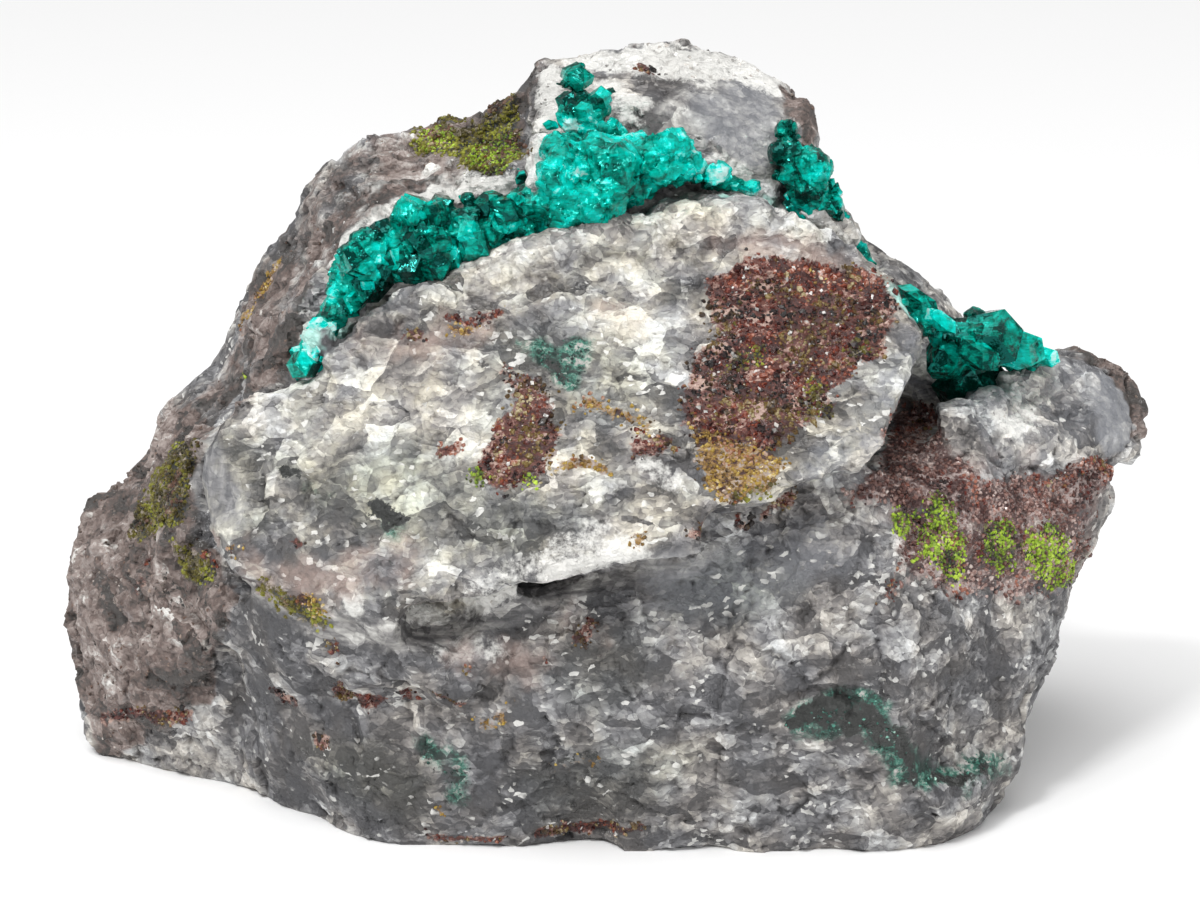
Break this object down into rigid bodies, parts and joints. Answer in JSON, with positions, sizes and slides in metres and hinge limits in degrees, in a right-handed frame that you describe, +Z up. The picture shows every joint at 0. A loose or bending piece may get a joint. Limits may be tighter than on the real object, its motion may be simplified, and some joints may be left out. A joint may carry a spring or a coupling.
{
  "type": "mineral specimen",
  "caption": "Broken block of pale calcite with a seam of emerald-green dioptase crystals along its top and rusty, green-flecked crusts; it rests on a flat cut underside.",
  "frame": {"origin": "middle of the flat underside of the box around the specimen", "axes": "+Z up, +X to the right and +Y away from whoever looks at the pale slab"},
  "size_m": [0.0928, 0.0494, 0.0607],
  "materials": {
    "calcite": "sugary broken calcite and quartz, pale grey to white, with rusty and green crusts",
    "dioptase": "glassy emerald-green crystals, clear inside, with bright flat faces"
  },
  "bodies": {
    "root": {"calcite_matrix": "calcite", "dioptase_main_seam": "dioptase", "dioptase_right_seam": "dioptase", "dioptase_right_cluster": "dioptase"}
  },
  "joints": []
}
